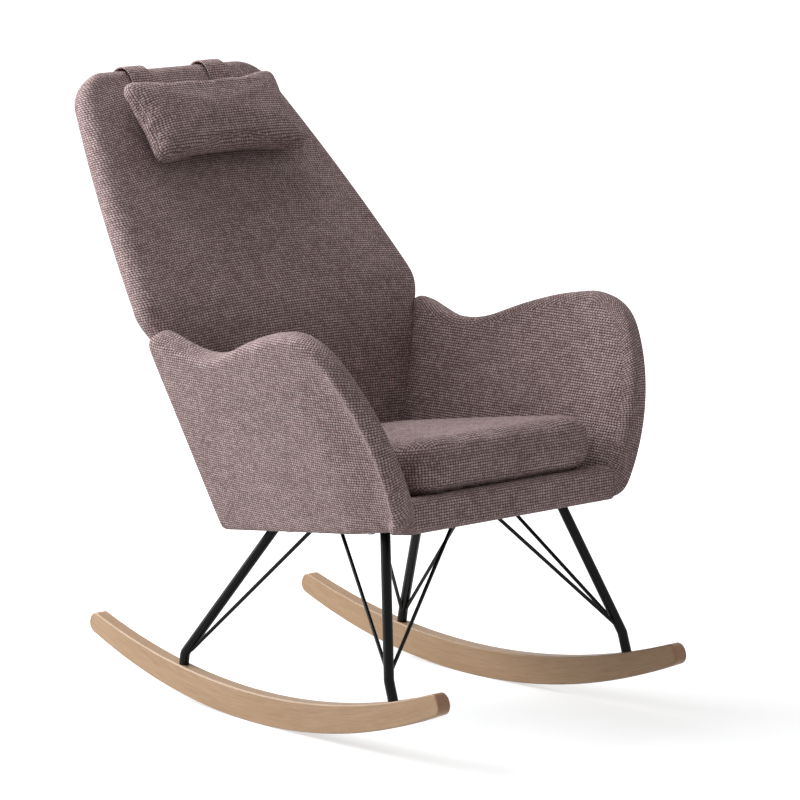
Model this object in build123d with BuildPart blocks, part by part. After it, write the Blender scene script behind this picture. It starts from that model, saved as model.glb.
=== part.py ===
from build123d import *
import os
from math import asin, atan2, cos, degrees, pi, radians, sin, sqrt, tan

# An upholstered rocking chair: two beech rockers, bent steel legs with brace rods, a steel frame under
# a plywood deck, padded arms and back, a loose seat cushion and a head pillow on two fabric straps.
# Millimetres, +Z up, the front of the chair towards -Y, the sitter's left towards +X.

os.makedirs("parts", exist_ok=True)

# The rockers' middle, so that the whole chair stands centred on the origin
rocker_middle_y = -50.0

# Rockers
rocker_spacing = 472.0
rocker_splay = 1.4
rocker_thickness = 24.0
rocker_radius = 1190.0
rocker_reach = 450.0
rocker_balance = 20.0
rocker_height = 48.0
rocker_end_height = 33.0
rocker_end_round = 15.5
rocker_edge_bevel = 2.0

# Legs and brace rods
leg_diameter = 16.0
leg_wall = 1.5
leg_socket_depth = 14.0
leg_bend_radius = 18.0
leg_fit = 0.15
rear_leg_station = 212.0
front_leg_station = -334.0
rear_leg_rise = 19.0
front_leg_rise = 32.0
brace_diameter = 6.0
front_brace_rise = 6.0
rear_brace_drop = 7.0
bolt_diameter = 6.0
bolt_head_diameter = 11.0
bolt_head_height = 5.0
bolt_head_recess = 9.0
plug_length = 18.0

# Seat plane: the underside of the tub, lower at the rear
seat_tilt = 8.0
seat_underside = 297.0
frame_recess = 7.0
dust_cover_thickness = 1.0
dust_cover_inset = 8.0
deck_thickness = 12.0
deck_front = -312.0
deck_rear = 168.0
base_pad_top = 54.0

# Steel frame under the deck
rail_width = 30.0
rail_thickness = 5.0
rail_front = -262.0
rail_rear = 92.0
rail_half_spacing_front = 183.0
rail_half_spacing_rear = 152.0
front_bar_station = -237.0
rear_bar_station = 65.0
front_brace_inset = 142.0
rear_brace_inset = 98.0
front_side_brace_station = -119.0
rear_side_brace_station = -40.0
frame_bolt_stations = (-200.0, -67.0, 22.0)
frame_bolt_diameter = 6.0
tee_nut_diameter = 16.0
tee_nut_height = 3.0

# Arms: one padded slab a side, flared outwards and drawing in towards the rear
arm_flare = 0.373
arm_draw_in = 0.05
arm_thickness = 46.0
arm_round = 18.0
arm_foot_x = 210.0
arm_foot_y = -335.0
arm_foot_z = 345.0
arm_panel_thickness = 15.0
arm_panel_inset = 24.0
arm_panel_foot = 440.0
deck_arm_lap = -4.0

# The arm's outline in its own plane, rearwards and upwards from its foot, from the front to the rear
arm_rear_corner = (502, -68)
arm_front_corner = (28, 1)
arm_top_points = [(0, 28), (57, 279), (160, 320), (334, 266), (461, 258), (514, 275), (538, 258)]

# Front rail of the tub
front_pad_front = -340.0
front_pad_depth = 58.0
front_rail_gap = 6.0
front_pad_round = 14.0
front_rail_depth = 22.0
front_rail_height = 28.0

# Back: a lower stretch between the arms and a reclined upper stretch above them
back_thickness = 52.0
back_foot_y = 147.0
back_foot_z = 285.0
back_bend_y = 213.0
back_bend_z = 600.0
back_top_y = 531.0
back_top_z = 974.0
back_half_foot = 178.0
back_half_waist = 258.0
back_half_shoulder = 284.0
back_half_top = 187.0
back_side_bow = 8.0
back_edge_round = 23.0
back_edge_share = 0.86
back_bend_radius = 250.0
back_waist_drop = -24.0
back_shoulder_rise = 40.0
back_corner_round = 56.0
back_top_roll = 24.0
back_foot_below = 30.0
back_panel_thickness = 9.0
back_panel_inset = 36.0
back_panel_top_inset = 60.0
back_hollow_depth = 14.0
bracket_width = 40.0
bracket_leg = 45.0
bracket_thickness = 4.0
bracket_half_spacing = 80.0
bracket_screw_diameter = 5.0
bracket_screw_head = 3.0
bracket_screw_bite = 9.0
bracket_screw_share = 0.6

# Loose seat cushion
cushion_clearance = 0.4
cushion_front = -344.0
cushion_rear = 118.0
cushion_half_front = 202.0
cushion_half_rear = 153.0
cushion_height = 82.0
cushion_crown = 12.0
cushion_shoulder_drop = 14.0
cushion_side_bulge = 9.0
cushion_draw_in = 5.0
cushion_corner_front = 52.0
cushion_corner_rear = 30.0
cushion_edge_round = 20.0

# Head pillow and its straps
pillow_width = 318.0
pillow_length = 162.0
pillow_thickness = 60.0
pillow_side_draw = 5.0
pillow_edge_depth = 14.0
pillow_corner_share = 0.62
pillow_end_share = 0.9
pillow_end_draw = 0.12
pillow_end_power = 5
pillow_below_top = 141.0
strap_half_spacing = 80.0
strap_width = 40.0
strap_thickness = 3.0
strap_length = 190.0
strap_clearance = 0.4
patch_length = 60.0
patch_thickness = 2.0


def spot(x, y, z):
    """A point of the chair, with y measured from the rockers' middle."""
    return Vector(x, rocker_middle_y + y, z)


def finish_piece(piece, name):
    """Label one piece and write it to its own file."""
    piece.part.label = name
    export_step(piece.part, f"parts/{name}.step")


def drop_offcuts(builder):
    """Keep the largest solid of a piece that was trimmed against its neighbours."""
    for offcut in builder.solids().sort_by(SortBy.VOLUME)[:-1]:
        add(offcut, mode=Mode.SUBTRACT)


# The seat plane: the underside of the tub
tilt = radians(seat_tilt)
seat_plane = Plane(origin=spot(0, 0, seat_underside), x_dir=(1, 0, 0), z_dir=(0, sin(tilt), cos(tilt)))


def seat_spot(x, v, h):
    """A point by its place across and along the seat plane and its height above it."""
    return seat_plane.from_local_coords(Vector(x, v, h))


def rocker_spot(angle, height):
    """A point in a rocker's own side view, by its angle from the lowest point and its height."""
    reach = rocker_radius - height
    return (reach * sin(angle), rocker_radius - reach * cos(angle))


def rocker_side_view(sign):
    """A rocker's own side view, from its lowest point: the two rockers spread towards the front."""
    splay = radians(rocker_splay)
    low_point = spot(sign * (rocker_spacing / 2 - rocker_balance * tan(splay)), rocker_balance, 0)
    rearwards = (-sign * sin(splay), cos(splay), 0)
    return Plane(low_point, x_dir=rearwards, z_dir=(cos(splay), sign * sin(splay), 0))


def socket_plane(rocker_plane, angle, height):
    """The plane across a leg's socket, at a height over the rocker's underside."""
    place = rocker_plane.from_local_coords(Vector(*rocker_spot(angle, height), 0))
    upwards = rocker_plane.y_dir * cos(angle) - rocker_plane.x_dir * sin(angle)
    return Plane(place, x_dir=rocker_plane.z_dir, z_dir=upwards)


# Rockers: part of a ring, whose lowest point lies under the empty chair's centre of mass
end_angle = asin(rocker_reach / rocker_radius)
middle_angle = -asin(rocker_balance / rocker_radius)
front_end = middle_angle - end_angle
rear_end = middle_angle + end_angle


def rocker_height_at(angle):
    """The height of the rocker's top over its underside, from the three points of its top arc."""
    share = ((angle - middle_angle) / end_angle) ** 2
    return rocker_height + (rocker_end_height - rocker_height) * share


leg_angles = {
    "front": asin((front_leg_station - rocker_balance) / rocker_radius),
    "rear": asin((rear_leg_station - rocker_balance) / rocker_radius),
}
leg_rises = {"front": front_leg_rise, "rear": rear_leg_rise}
sides = {"right": -1, "left": 1}

for side, sign in sides.items():
    rocker_plane = rocker_side_view(sign)
    with BuildPart() as rocker:
        with BuildSketch(rocker_plane):
            with BuildLine():
                bottom = ThreePointArc(rocker_spot(front_end, 0), (0, 0), rocker_spot(rear_end, 0))
                rear_line = Line(bottom @ 1, rocker_spot(rear_end, rocker_end_height))
                top = ThreePointArc(
                    rear_line @ 1,
                    rocker_spot(middle_angle, rocker_height),
                    rocker_spot(front_end, rocker_end_height),
                )
                Line(top @ 1, bottom @ 0)
            outline = make_face()
            fillet(outline.vertices(), rocker_end_round)
        extrude(amount=rocker_thickness / 2, both=True)
        flat_faces = rocker.faces().filter_by(GeomType.PLANE)
        chamfer(flat_faces.edges(), rocker_edge_bevel)
        for end, angle in leg_angles.items():
            seat_height = rocker_height_at(angle) - leg_socket_depth
            axis_plane = socket_plane(rocker_plane, angle, seat_height)
            with BuildSketch(axis_plane):
                Circle(leg_diameter / 2 + leg_fit)
            extrude(amount=2 * leg_socket_depth, mode=Mode.SUBTRACT)
            with BuildSketch(axis_plane):
                Circle(bolt_diameter / 2 + leg_fit)
            extrude(amount=-rocker_height, mode=Mode.SUBTRACT)
            with BuildSketch(axis_plane.offset(bolt_head_recess - seat_height)):
                Circle(bolt_head_diameter / 2 + leg_fit)
            extrude(amount=-rocker_height, mode=Mode.SUBTRACT)
    finish_piece(rocker, f"rocker_{side}")


# Legs, brace rods, threaded plugs and rocker bolts
def rail_half_spacing(v):
    """Half the distance between the side rails' middles at a place along the seat plane."""
    share = (v - rail_front) / (rail_rear - rail_front)
    return rail_half_spacing_front + (rail_half_spacing_rear - rail_half_spacing_front) * share


leg_head_stations = {"front": front_bar_station, "rear": rear_bar_station}
side_brace_stations = {"front": front_side_brace_station, "rear": rear_side_brace_station}
brace_insets = {"front": front_brace_inset, "rear": rear_brace_inset}
rail_underside = frame_recess - rail_thickness
plugs = []
rocker_bolts = []

for side, sign in sides.items():
    rocker_plane = rocker_side_view(sign)
    for end, angle in leg_angles.items():
        seat_height = rocker_height_at(angle) - leg_socket_depth
        axis_plane = socket_plane(rocker_plane, angle, seat_height)
        stub = leg_socket_depth + leg_rises[end]
        foot = axis_plane.origin
        bend = axis_plane.offset(stub).origin
        head_v = leg_head_stations[end]
        head = seat_spot(sign * rail_half_spacing(head_v), head_v, rail_underside)
        over_head = head + (head - bend).normalized() * leg_diameter
        with BuildPart() as leg:
            with BuildLine():
                FilletPolyline(foot, bend, over_head, radius=leg_bend_radius)
            with BuildSketch(axis_plane):
                Circle(leg_diameter / 2)
                Circle(leg_diameter / 2 - leg_wall, mode=Mode.SUBTRACT)
            sweep()
            split(bisect_by=seat_plane.offset(rail_underside), keep=Keep.BOTTOM)
        finish_piece(leg, f"leg_{end}_{side}")

        toward_head = (head - bend).normalized()
        if end == "front":
            brace_start = bend + toward_head * front_brace_rise
        else:
            brace_start = bend - axis_plane.z_dir * rear_brace_drop
        side_v = side_brace_stations[end]
        inset_x = sign * (rail_half_spacing(head_v) - brace_insets[end])
        brace_heads = {
            "side": seat_spot(sign * rail_half_spacing(side_v), side_v, rail_underside),
            "cross": seat_spot(inset_x, head_v, rail_underside),
        }
        for kind, brace_head in brace_heads.items():
            run = brace_head - brace_start
            brace_plane = Plane(brace_start, z_dir=run)
            with BuildPart() as brace:
                with BuildSketch(brace_plane):
                    Circle(brace_diameter / 2)
                extrude(amount=run.length + brace_diameter)
                split(bisect_by=seat_plane.offset(rail_underside), keep=Keep.BOTTOM)
                add(leg.part, mode=Mode.SUBTRACT)
                leg_core = Plane(brace_start - toward_head * leg_diameter, z_dir=toward_head)
                with BuildSketch(leg_core):
                    Circle(leg_diameter / 2 - leg_wall / 2)
                extrude(amount=3 * leg_diameter, mode=Mode.SUBTRACT)
                with BuildSketch(axis_plane):
                    Circle(leg_diameter / 2)
                extrude(amount=stub, mode=Mode.SUBTRACT)
                drop_offcuts(brace)
            finish_piece(brace, f"brace_{end}_{kind}_{side}")

        with BuildPart() as plug:
            with BuildSketch(axis_plane):
                Circle(leg_diameter / 2 - leg_wall)
                Circle(bolt_diameter / 2, mode=Mode.SUBTRACT)
            extrude(amount=plug_length)
        plugs.append(plug.part)

        with BuildPart() as rocker_bolt:
            with BuildSketch(axis_plane.offset(bolt_head_recess - seat_height - bolt_head_height)):
                Circle(bolt_head_diameter / 2)
            extrude(amount=bolt_head_height)
            with BuildSketch(axis_plane.offset(bolt_head_recess - seat_height)):
                Circle(bolt_diameter / 2)
            extrude(amount=seat_height - bolt_head_recess + plug_length)
        rocker_bolts.append(rocker_bolt.part)

with BuildPart() as leg_plugs:
    add(plugs)
finish_piece(leg_plugs, "leg_plugs")

with BuildPart() as rocker_bolt_set:
    add(rocker_bolts)
finish_piece(rocker_bolt_set, "rocker_bolts")

# Steel frame: two side rails and two cross bars, in one plane under the deck
rail_turn = degrees(atan2(rail_half_spacing_front - rail_half_spacing_rear, rail_rear - rail_front))
rail_middle = (rail_front + rail_rear) / 2
rail_length = (rail_rear - rail_front) / cos(radians(rail_turn))
frame_bolt_spots = []
for sign in sides.values():
    for v in frame_bolt_stations:
        frame_bolt_spots.append((sign * rail_half_spacing(v), v))

frame_rails = {}
for side, sign in sides.items():
    with BuildPart() as rail:
        with BuildSketch(seat_plane.offset(rail_underside)):
            with Locations(Location((sign * rail_half_spacing(rail_middle), rail_middle, 0))):
                Rectangle(rail_width, rail_length, rotation=sign * rail_turn)
            with Locations(*frame_bolt_spots):
                Circle(frame_bolt_diameter / 2 + leg_fit, mode=Mode.SUBTRACT)
        extrude(amount=rail_thickness)
    frame_rails[side] = rail.part
    finish_piece(rail, f"frame_rail_{side}")

for end, v in leg_head_stations.items():
    with BuildPart() as bar:
        with BuildSketch(seat_plane.offset(rail_underside)):
            with Locations((0, v)):
                Rectangle(2 * rail_half_spacing(v), rail_width)
        extrude(amount=rail_thickness)
        add(list(frame_rails.values()), mode=Mode.SUBTRACT)
        drop_offcuts(bar)
    finish_piece(bar, f"frame_bar_{end}")

# Arms: a plane in the middle of the left arm, its outline, the padded slab and the panel inside it
arm_normal = Vector(1, arm_draw_in, -arm_flare)
arm_plane = Plane(spot(arm_foot_x, arm_foot_y, arm_foot_z), x_dir=(-arm_draw_in, 1, 0), z_dir=arm_normal)

with BuildSketch(Plane.XY) as arm_face:
    with BuildLine():
        foot_line = Line(arm_rear_corner, arm_front_corner)
        stretch = foot_line
        for point in arm_top_points:
            stretch = TangentArc(stretch @ 1, point, tangent=stretch % 1)
        Line(stretch @ 1, foot_line @ 0)
    make_face()

with BuildPart() as arm_slab:
    with BuildSketch(arm_plane):
        add(arm_face.sketch)
    extrude(amount=arm_thickness / 2, both=True)
    wide_faces = arm_slab.faces().filter_by(Axis(arm_plane.origin, arm_plane.z_dir))
    fillet(wide_faces.edges(), arm_round)


def arm_middle(v, h):
    """Half the distance between the two arms' middle planes at a place over the seat plane."""
    place = seat_spot(0, v, h)
    rise = place.Z - arm_foot_z
    depth = place.Y - rocker_middle_y - arm_foot_y
    return arm_foot_x + arm_flare * rise - arm_draw_in * depth


deck_underside = frame_recess + dust_cover_thickness
deck_top = deck_underside + deck_thickness


def across(v_front, v_rear, half_front, half_rear):
    """The corners of a plate that is symmetric about the middle of the seat plane."""
    return [(-half_front, v_front), (half_front, v_front), (half_rear, v_rear), (-half_rear, v_rear)]


# Back: stations up the middle line, each a width and a thickness
back_foot = Vector(0, rocker_middle_y + back_foot_y, back_foot_z)
back_bend = Vector(0, rocker_middle_y + back_bend_y, back_bend_z)
back_top = Vector(0, rocker_middle_y + back_top_y, back_top_z)
back_rise = (back_top - back_bend).normalized()
back_rear = Vector(0, back_rise.Z, -back_rise.Y)
lower_rise = (back_bend - back_foot).normalized()
half_turn = radians(lower_rise.get_angle(back_rise)) / 2
bend_run = back_bend_radius * tan(half_turn)
lower_run = (back_bend - back_foot).length - bend_run
upper_run = (back_top - back_bend).length - bend_run
arc_run = 2 * half_turn * back_bend_radius
back_run = lower_run + arc_run + upper_run
bend_middle = lower_run + arc_run / 2
half_thickness = back_thickness / 2


def back_plane(s):
    """The plane across the back's middle line at a distance up it, with its y towards the rear."""
    if s <= lower_run:
        place = back_foot + lower_rise * s
        rise = lower_rise
    elif s <= lower_run + arc_run:
        turn = (s - lower_run) / back_bend_radius
        side_step = lower_rise.cross(Vector(1, 0, 0))
        start = back_foot + lower_rise * lower_run
        place = start + lower_rise * (back_bend_radius * sin(turn))
        place = place + side_step * (back_bend_radius * (1 - cos(turn)))
        rise = lower_rise * cos(turn) + side_step * sin(turn)
    else:
        place = back_top - back_rise * (back_run - s)
        rise = back_rise
    return Plane(place, x_dir=(1, 0, 0), z_dir=rise)


def back_half_width(s):
    """Half the width of the back: it widens up to the shoulders, then narrows to a rounded top."""
    waist = bend_middle + back_waist_drop
    shoulder = bend_middle + back_shoulder_rise
    if s <= waist:
        return back_half_foot + (back_half_waist - back_half_foot) * s / waist
    if s <= shoulder:
        share = (s - waist) / (shoulder - waist)
        return back_half_waist + (back_half_shoulder - back_half_waist) * sin(share * pi / 2)
    share = (s - shoulder) / (back_run - shoulder)
    bow = back_side_bow * 4 * share * (1 - share)
    narrowing = (back_half_shoulder - back_half_top) * share - bow
    into_corner = max(0, s - (back_run - back_corner_round))
    corner = back_corner_round - sqrt(max(0, back_corner_round**2 - into_corner**2))
    return back_half_shoulder - narrowing - corner


def back_half_depth(s):
    """Half the thickness of the back, rolled over at the top edge."""
    into_roll = max(0, s - (back_run - back_top_roll))
    return half_thickness - (back_top_roll - sqrt(max(0, back_top_roll**2 - into_roll**2)))


waist_stations = [bend_middle + back_waist_drop * share for share in (1, 0.4)]
shoulder_stations = [bend_middle + back_shoulder_rise * share for share in (0, 0.4, 0.7, 1)]
corner_stations = [back_run - back_corner_round * (1 - sin(radians(a))) for a in (0, 25, 50)]
roll_stations = [back_run - back_top_roll * (1 - sin(radians(a))) for a in (20, 45, 65, 80)]
side_run = back_run - back_corner_round - shoulder_stations[-1]
side_stations = [shoulder_stations[-1] + side_run * share for share in (0.25, 0.5, 0.75)]
back_stations = [-back_foot_below, lower_run / 2] + side_stations
back_stations += waist_stations + shoulder_stations + corner_stations + roll_stations

with BuildPart() as back_form:
    for s in sorted(back_stations):
        with BuildSketch(back_plane(s)):
            depth = back_half_depth(s)
            edge = min(back_edge_round, back_edge_share * depth)
            RectangleRounded(2 * back_half_width(s), 2 * depth, edge)
    loft(ruled=True)
    split(bisect_by=seat_plane.offset(deck_top), keep=Keep.TOP)

panel_stations = [-back_foot_below, lower_run / 2] + waist_stations + shoulder_stations
panel_stations.append(back_run - back_panel_top_inset)
back_inner_forms = {}
for name, rear_gap in (("panel", 0), ("hollow", back_hollow_depth)):
    with BuildPart() as inner_form:
        for s in sorted(panel_stations):
            with BuildSketch(back_plane(s)):
                inner_width = 2 * (back_half_width(s) - back_panel_inset)
                with Locations((0, -back_panel_thickness / 2)):
                    Rectangle(
                        inner_width, back_panel_thickness + rear_gap, align=(Align.CENTER, Align.MIN)
                    )
        loft(ruled=True)
        split(bisect_by=seat_plane.offset(deck_top), keep=Keep.TOP)
    back_inner_forms[name] = inner_form.part

# Brackets between the back panel and the deck: one leg up the panel's front, one forward on the deck
panel_forward = back_plane(0).y_dir * -1
deck_normal = seat_plane.z_dir
deck_forward = seat_plane.y_dir * -1
panel_face = back_foot + panel_forward * (back_panel_thickness / 2)
deck_place = seat_spot(0, 0, deck_top)
up_to_deck = (deck_place - panel_face).dot(deck_normal) / lower_rise.dot(deck_normal)
bracket_heel = panel_face + lower_rise * up_to_deck
bracket_toe = bracket_heel + deck_forward * bracket_leg
bracket_head = bracket_heel + lower_rise * bracket_leg
bracket_inner = bracket_heel + (panel_forward + deck_normal) * bracket_thickness
bracket_corners = [
    bracket_heel,
    bracket_toe,
    bracket_toe + deck_normal * bracket_thickness,
    bracket_inner,
    bracket_head + panel_forward * bracket_thickness,
    bracket_head,
]
side_view = Plane.YZ
bracket_outline = [(corner.Y, corner.Z) for corner in bracket_corners]
deck_screw = bracket_heel + deck_forward * (bracket_leg * bracket_screw_share)
panel_screw = bracket_heel + lower_rise * (bracket_leg * bracket_screw_share)
screw_axes = [(deck_screw, deck_normal), (panel_screw, panel_forward)]

screws = []
brackets = {}
for side, sign in sides.items():
    across_x = Vector(sign * bracket_half_spacing, 0, 0)
    for place, way in screw_axes:
        with BuildPart() as screw:
            with BuildSketch(Plane(place + across_x + way * bracket_thickness, z_dir=way)):
                Circle(bracket_screw_diameter)
            extrude(amount=bracket_screw_head)
            with BuildSketch(Plane(place + across_x + way * bracket_thickness, z_dir=way)):
                Circle(bracket_screw_diameter / 2)
            extrude(amount=-(bracket_thickness + bracket_screw_bite))
        screws.append(screw.part)
    with BuildPart() as bracket:
        with BuildSketch(side_view.offset(sign * bracket_half_spacing)):
            with BuildLine():
                Polyline(*bracket_outline, close=True)
            make_face()
        extrude(amount=bracket_width / 2, both=True)
        add(screws, mode=Mode.SUBTRACT)
    brackets[side] = bracket.part
    finish_piece(bracket, f"back_bracket_{side}")

with BuildPart() as bracket_screws:
    add(screws)
finish_piece(bracket_screws, "bracket_screws")

with BuildPart() as back_panel:
    add(back_inner_forms["panel"])
    add(screws, mode=Mode.SUBTRACT)
finish_piece(back_panel, "back_panel")

# Deck, dust cover, frame bolts and the tee nuts that take them
deck_half_front = arm_middle(deck_front, deck_top) + deck_arm_lap
deck_half_rear = arm_middle(deck_rear, deck_top) + deck_arm_lap
deck_corners = across(deck_front, deck_rear, deck_half_front, deck_half_rear)
with BuildPart() as deck_blank:
    with BuildSketch(seat_plane.offset(deck_underside)):
        Polygon(*deck_corners, align=None)
    extrude(amount=deck_thickness)

with BuildPart() as deck:
    add(deck_blank.part)
    with BuildSketch(seat_plane.offset(deck_underside)):
        with Locations(*frame_bolt_spots):
            Circle(frame_bolt_diameter / 2 + leg_fit)
    extrude(amount=deck_thickness, mode=Mode.SUBTRACT)
    with BuildSketch(seat_plane.offset(deck_top - tee_nut_height)):
        with Locations(*frame_bolt_spots):
            Circle(tee_nut_diameter / 2 + leg_fit)
    extrude(amount=tee_nut_height, mode=Mode.SUBTRACT)
    add(screws, mode=Mode.SUBTRACT)
finish_piece(deck, "seat_deck")

with BuildPart() as dust_cover:
    with BuildSketch(seat_plane.offset(frame_recess)):
        Polygon(*deck_corners, align=None)
        offset(amount=-dust_cover_inset)
        with Locations(*frame_bolt_spots):
            Circle(frame_bolt_diameter / 2 + leg_fit, mode=Mode.SUBTRACT)
    extrude(amount=dust_cover_thickness)
finish_piece(dust_cover, "dust_cover")

with BuildPart() as frame_bolts:
    with BuildSketch(seat_plane.offset(rail_underside - bolt_head_height)):
        with Locations(*frame_bolt_spots):
            Circle(bolt_head_diameter / 2)
    extrude(amount=bolt_head_height)
    with BuildSketch(seat_plane.offset(rail_underside)):
        with Locations(*frame_bolt_spots):
            Circle(frame_bolt_diameter / 2)
    extrude(amount=deck_top - rail_underside)
finish_piece(frame_bolts, "frame_bolts")

with BuildPart() as tee_nuts:
    with BuildSketch(seat_plane.offset(deck_top - tee_nut_height)):
        with Locations(*frame_bolt_spots):
            Circle(tee_nut_diameter / 2)
            Circle(frame_bolt_diameter / 2, mode=Mode.SUBTRACT)
    extrude(amount=tee_nut_height)
finish_piece(tee_nuts, "tee_nuts")

# Arm panels, and the arm padding that wraps them and the edge of the deck
with BuildPart() as arm_panel_left:
    with BuildSketch(arm_plane):
        add(arm_face.sketch)
        offset(amount=-arm_panel_inset)
        with Locations((arm_rear_corner[0] / 2, arm_panel_inset)):
            Rectangle(arm_panel_foot, 3 * arm_panel_inset)
    extrude(amount=arm_panel_thickness / 2, both=True)
    split(bisect_by=seat_plane.offset(deck_top), keep=Keep.TOP)

with BuildPart() as arm_pad_left:
    add(arm_slab.part)
    add(arm_panel_left.part, mode=Mode.SUBTRACT)
    add(frame_rails["left"], mode=Mode.SUBTRACT)
    add(back_panel.part, mode=Mode.SUBTRACT)
    add(deck_blank.part, mode=Mode.SUBTRACT)
    add(dust_cover.part, mode=Mode.SUBTRACT)
    with BuildSketch(seat_plane):
        Rectangle(4 * arm_foot_x, 4 * arm_foot_x)
    extrude(amount=-arm_thickness, mode=Mode.SUBTRACT)

for side, sign in sides.items():
    for name, left_form in (("arm_panel", arm_panel_left.part), ("arm_pad", arm_pad_left.part)):
        with BuildPart() as arm_piece:
            add(left_form)
            if sign < 0:
                mirror(about=Plane.YZ, mode=Mode.REPLACE)
        finish_piece(arm_piece, f"{name}_{side}")
with BuildPart() as arm_slab_right:
    add(arm_slab.part)
    mirror(about=Plane.YZ, mode=Mode.REPLACE)
both_slabs = [arm_slab.part, arm_slab_right.part]

# Back padding round its panel, between the arms and over their rear ends
with BuildPart() as back_pad:
    add(back_form.part)
    add(back_inner_forms["hollow"], mode=Mode.SUBTRACT)
    add(list(brackets.values()), mode=Mode.SUBTRACT)
    add(screws, mode=Mode.SUBTRACT)
    add(both_slabs, mode=Mode.SUBTRACT)
finish_piece(back_pad, "back_pad")

# Front rail of the tub: a wood rail on the deck in its padding
front_pad_rear = front_pad_front + front_pad_depth
rail_back_face = deck_front + front_rail_depth
front_rail_half = arm_middle(deck_front, deck_top) - arm_thickness / 2 - front_rail_gap
with BuildPart() as front_rail:
    with BuildSketch(seat_plane.offset(deck_top)):
        Polygon(*across(deck_front, rail_back_face, front_rail_half, front_rail_half), align=None)
    extrude(amount=front_rail_height)
finish_piece(front_rail, "front_rail")

front_pad_half = arm_middle(front_pad_front, deck_top)
with BuildPart() as front_pad:
    with BuildSketch(seat_plane):
        Polygon(*across(front_pad_front, front_pad_rear, front_pad_half, front_pad_half), align=None)
    extrude(amount=base_pad_top)
    front_edges = front_pad.edges().filter_by(Axis.X).group_by(Axis.Y)[0]
    fillet(front_edges, front_pad_round)
    add(front_rail.part, mode=Mode.SUBTRACT)
    add(deck_blank.part, mode=Mode.SUBTRACT)
    add(dust_cover.part, mode=Mode.SUBTRACT)
    add(both_slabs, mode=Mode.SUBTRACT)
finish_piece(front_pad, "front_pad")

seat_pad_half_front = arm_middle(front_pad_rear, deck_top)
seat_pad_half_rear = arm_middle(deck_rear, deck_top)
with BuildPart() as seat_pad:
    with BuildSketch(seat_plane.offset(deck_top)):
        Polygon(*across(front_pad_rear, deck_rear, seat_pad_half_front, seat_pad_half_rear), align=None)
    extrude(amount=base_pad_top - deck_top)
    add(both_slabs, mode=Mode.SUBTRACT)
    add(back_form.part, mode=Mode.SUBTRACT)
    add(list(brackets.values()), mode=Mode.SUBTRACT)
    add(screws, mode=Mode.SUBTRACT)
    drop_offcuts(seat_pad)
finish_piece(seat_pad, "seat_pad")

# Loose seat cushion: crowned top, bowed sides, narrower to the rear, round front corners
cushion_floor = base_pad_top + cushion_clearance
cushion_run = cushion_rear - cushion_front


def cushion_half(v):
    """Half the cushion's width: a taper to the rear, with a round corner at each end."""
    share = (v - cushion_front) / cushion_run
    taper = cushion_half_front + (cushion_half_rear - cushion_half_front) * share
    front_corner = max(0, cushion_corner_front - (v - cushion_front))
    rear_corner = max(0, cushion_corner_rear - (cushion_rear - v))
    drawn_front = cushion_corner_front - sqrt(cushion_corner_front**2 - front_corner**2)
    drawn_rear = cushion_corner_rear - sqrt(cushion_corner_rear**2 - rear_corner**2)
    bow = cushion_draw_in * 4 * share * (1 - share)
    return taper - drawn_front - drawn_rear - bow


def cushion_roll(v):
    """How far the cushion's upper and lower edges are rolled in near its two ends."""
    from_end = min(v - cushion_front, cushion_rear - v)
    into_roll = max(0, cushion_edge_round - from_end)
    return cushion_edge_round - sqrt(cushion_edge_round**2 - into_roll**2)


front_turns = [cushion_front + cushion_corner_front * (1 - cos(radians(a))) for a in (22, 38, 55, 72, 90)]
rear_turns = [cushion_rear - cushion_corner_rear * (1 - cos(radians(a))) for a in (30, 50, 70, 90)]
cushion_stations = front_turns + [cushion_front + cushion_run * 0.4] + rear_turns
with BuildPart() as seat_cushion:
    for v in sorted(cushion_stations):
        share = (v - cushion_front) / cushion_run
        half = cushion_half(v)
        roll = cushion_roll(v)
        low = cushion_floor + roll
        crown = cushion_crown * (1 - (2 * share - 1) ** 2)
        shoulder = cushion_floor + cushion_height - roll - cushion_shoulder_drop
        crest = cushion_floor + cushion_height - roll + crown
        belly = (low + shoulder) / 2
        section_plane = Plane(seat_spot(0, v, 0), x_dir=(1, 0, 0), z_dir=seat_plane.y_dir)
        with BuildSketch(section_plane):
            with BuildLine():
                floor_line = Line((half - cushion_side_bulge, -low), (-half + cushion_side_bulge, -low))
                left_side = ThreePointArc(
                    floor_line @ 1, (-half, -belly), (-half + cushion_side_bulge, -shoulder)
                )
                top_line = ThreePointArc(left_side @ 1, (0, -crest), (half - cushion_side_bulge, -shoulder))
                ThreePointArc(top_line @ 1, (half, -belly), floor_line @ 0)
            make_face()
    loft(ruled=True)
finish_piece(seat_cushion, "seat_cushion")

# Head pillow and its straps, in the side view of the back's upper stretch
slope_view = Plane(back_top, x_dir=back_rear, z_dir=(1, 0, 0))
strap_s = [s for s in sorted(corner_stations + roll_stations) if s > back_run - strap_length]
strap_s = [back_run - strap_length] + strap_s
front_points = [(-back_half_depth(s), s - back_run) for s in strap_s]
rear_points = [(back_half_depth(s), s - back_run) for s in reversed(strap_s)]
strap_reach = back_thickness + 2 * strap_thickness
hung_below = (Align.CENTER, Align.MAX)
for side, sign in sides.items():
    with BuildPart() as strap:
        with BuildSketch(slope_view.offset(sign * strap_half_spacing)):
            with BuildLine():
                Polyline(*front_points, *rear_points, close=True)
            make_face()
            offset(amount=strap_thickness, kind=Kind.INTERSECTION)
            with Locations((0, -strap_length)):
                Rectangle(2 * strap_reach, strap_reach, align=hung_below, mode=Mode.SUBTRACT)
        extrude(amount=strap_width / 2, both=True)
        add(back_form.part, mode=Mode.SUBTRACT)
    finish_piece(strap, f"pillow_strap_{side}")

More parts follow.
